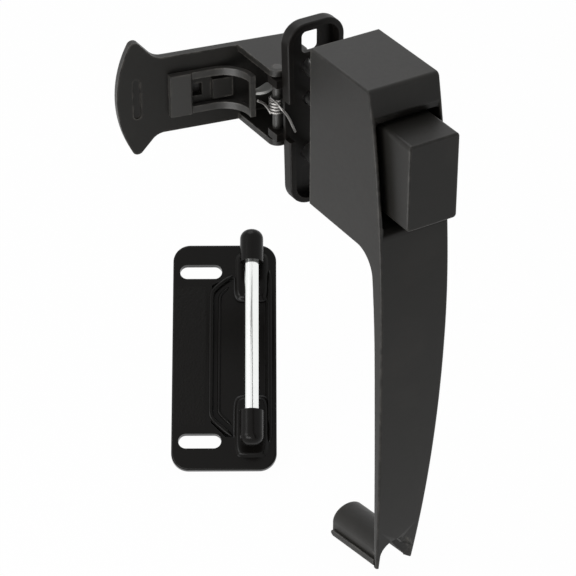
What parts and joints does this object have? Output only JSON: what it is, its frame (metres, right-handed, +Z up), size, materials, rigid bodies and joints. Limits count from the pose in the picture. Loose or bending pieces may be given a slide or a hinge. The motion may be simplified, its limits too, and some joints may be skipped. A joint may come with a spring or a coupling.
{
  "type": "storm door latch",
  "caption": "Push-button pull handle for the outside of a storm door, with an inside plate and sprung lever latch, a night-lock slide and a strike with a round catch pin.",
  "frame": {"origin": "on the handle's back face, which lies on the door's outer face, in the handle's centre plane, 26 mm above the underside of its box", "axes": "+X to the right seen from outside, +Y through the door into the house, +Z up"},
  "size_m": [0.0753, 0.1478, 0.173],
  "materials": {
    "satin_black_casting": "satin black paint over a zinc die casting",
    "satin_black_steel": "satin black paint on steel",
    "gloss_black_casting": "gloss black paint",
    "black_plastic": "black moulded plastic",
    "gloss_black_plastic": "gloss black moulded plastic",
    "white_plastic": "natural nylon",
    "zinc_steel": "zinc plated steel",
    "spring_steel": "bright spring wire",
    "chrome": "polished chrome"
  },
  "bodies": {
    "door_set": {"pull_handle": "satin_black_casting", "spring_cover": "zinc_steel", "plunger_bush": "white_plastic", "button_spring": "spring_steel", "mounting_posts": "zinc_steel", "clamp_screws": "zinc_steel", "inside_plate": "satin_black_casting", "torsion_spring": "spring_steel", "strike_plate": "gloss_black_casting", "strike_pin": "chrome", "strike_cap_upper": "gloss_black_plastic", "strike_cap_lower": "gloss_black_plastic"},
    "button": {"push_button": "satin_black_casting", "button_plunger": "zinc_steel", "plunger_clip": "spring_steel"},
    "lever": {"latch_lever": "satin_black_casting", "pivot_pin": "satin_black_steel"},
    "night_lock": {"night_lock_slide": "satin_black_steel", "slide_keeper": "satin_black_steel"}
  },
  "joints": [
    {"name": "lever_pivot", "type": "hinge", "parent": "door_set", "child": "lever", "pos_m": [-0.0082, 0.0236, 0], "axis": [0, 0, 1], "range_deg": [0, 24], "stiffness_Nm_per_rad": 0.18, "springref_deg": -21.2, "deforming": ["torsion_spring"]},
    {"name": "button_press", "type": "slide", "parent": "door_set", "child": "button", "axis": [0, 1, 0], "range_m": [0, 0.004], "stiffness_N_per_m": 20, "springref_m": -0.005, "deforming": ["button_spring"]},
    {"name": "night_lock", "type": "slide", "parent": "lever", "child": "night_lock", "axis": [0.9816, -0.1908, 0], "range_m": [0, 0.0045]}
  ],
  "couplings": [
    {"joint": "button_press", "follows": "lever_pivot", "m_per_rad": 0.00954}
  ]
}
